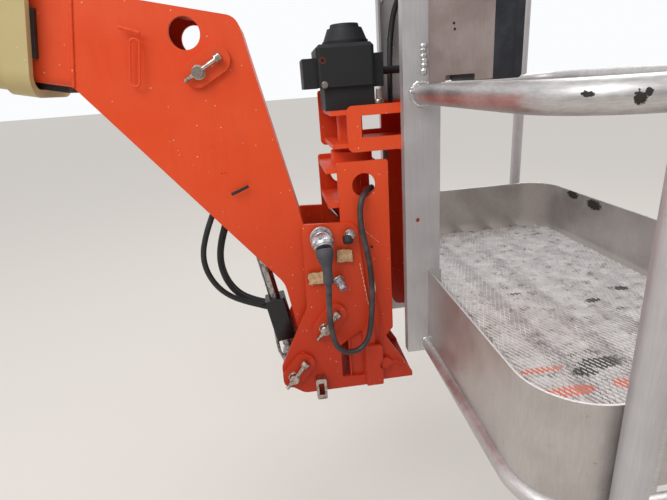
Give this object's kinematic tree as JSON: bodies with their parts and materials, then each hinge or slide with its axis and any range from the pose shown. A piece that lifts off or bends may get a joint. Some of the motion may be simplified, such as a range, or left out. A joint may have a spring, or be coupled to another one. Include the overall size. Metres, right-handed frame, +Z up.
{
  "type": "work platform, levelling neck and boom end of a towable boom lift",
  "caption": "Bare metal work platform with gate on a turning yoke, hung by a self-levelling support from the painted neck at the end of a telescopic boom.",
  "frame": {"origin": "centre of the fly tube's open rear end, where the boom goes on", "axes": "+X level, along the boom towards the platform; +Y to the far side of the picture; +Z up. The boom slopes down by 12 degrees towards +X, as parked."},
  "size_m": [1.743, 1.2878, 1.271],
  "materials": {
    "boom_cream": "semi-gloss paint, dusty",
    "safety_orange": "semi-gloss paint with scratches",
    "nylon": "moulded, matt",
    "zinc_steel": "zinc plated",
    "cast_connector": "cast, dull",
    "cylinder_black": "gloss paint",
    "rod_chrome": "polished",
    "rubber_black": "matt",
    "cable_grey": "matt, dusty",
    "drive_black": "matt black paint",
    "bare_aluminium": "brushed, weathered",
    "floor_aluminium": "expanded mesh, dusty",
    "console_grey": "moulded, matt",
    "case_black": "moulded, matt"
  },
  "bodies": {
    "boom_end": {"fly_tube": "safety_orange", "boom_nose": "boom_cream", "wear_pads": "nylon", "goose_neck": "safety_orange", "upper_cylinder_pin": "zinc_steel", "upper_pin_bolt": "zinc_steel"},
    "platform_support": {"support_tower": "safety_orange", "near_ear_plate": "safety_orange", "far_ear_plate": "safety_orange", "pivot_pin": "zinc_steel", "pivot_pin_bolt": "zinc_steel", "lower_cylinder_pin": "zinc_steel", "lower_cylinder_pin_bolt": "zinc_steel", "king_pin": "safety_orange", "thrust_pad": "safety_orange", "cable_connector": "cast_connector", "connector_boot": "rubber_black", "capped_connector": "cast_connector", "hose_fitting": "zinc_steel", "latch_keeper": "zinc_steel", "jumper_cable": "cable_grey"},
    "levelling_barrel": {"cylinder_barrel": "zinc_steel", "hose_block": "cylinder_black", "cylinder_hose_1": "rubber_black", "cylinder_hose_2": "rubber_black", "cylinder_hose_3": "rubber_black"},
    "levelling_rod": {"cylinder_rod": "rod_chrome"},
    "platform": {"yoke": "safety_orange", "rotator_drive": "drive_black", "hanger_posts": "bare_aluminium", "top_rail": "bare_aluminium", "mid_rail": "bare_aluminium", "bottom_ring": "bare_aluminium", "toe_board": "bare_aluminium", "kick_plate": "bare_aluminium", "platform_floor": "floor_aluminium", "floor_joists": "bare_aluminium", "platform_posts": "bare_aluminium", "console_cheeks": "bare_aluminium", "console_box": "console_grey", "document_case": "case_black", "post_cable": "rubber_black", "gate_hinges": "bare_aluminium"},
    "gate": {"gate_frame": "bare_aluminium", "gate_board": "bare_aluminium"}
  },
  "joints": [
    {"name": "platform_level", "type": "hinge", "parent": "boom_end", "child": "platform_support", "pos_m": [0.76855, 0, -0.71468], "axis": [0, 1, 0], "range_deg": [-5, 85]},
    {"name": "level_barrel", "type": "hinge", "parent": "platform_support", "child": "levelling_barrel", "pos_m": [0.68555, 0, -0.83468], "axis": [0, 1, 0], "range_deg": [-82, 6]},
    {"name": "level_rod", "type": "slide", "parent": "levelling_barrel", "child": "levelling_rod", "axis": [-0.1621, 0, 0.9868], "range_m": [-0.196, 0.013]},
    {"name": "platform_rotate", "type": "hinge", "parent": "platform_support", "child": "platform", "pos_m": [0.86855, 0, -0.32168], "axis": [0, 0, 1], "range_deg": [-30, 30]},
    {"name": "gate_swing", "type": "hinge", "parent": "platform", "child": "gate", "pos_m": [1.15955, -0.603, -0.72168], "axis": [0, 0, 1], "range_deg": [0, 90]}
  ],
  "couplings": [
    {"joint": "level_barrel", "follows": "platform_level", "ratio": -0.952},
    {"joint": "level_rod", "follows": "platform_level", "m_per_rad": -0.13}
  ]
}
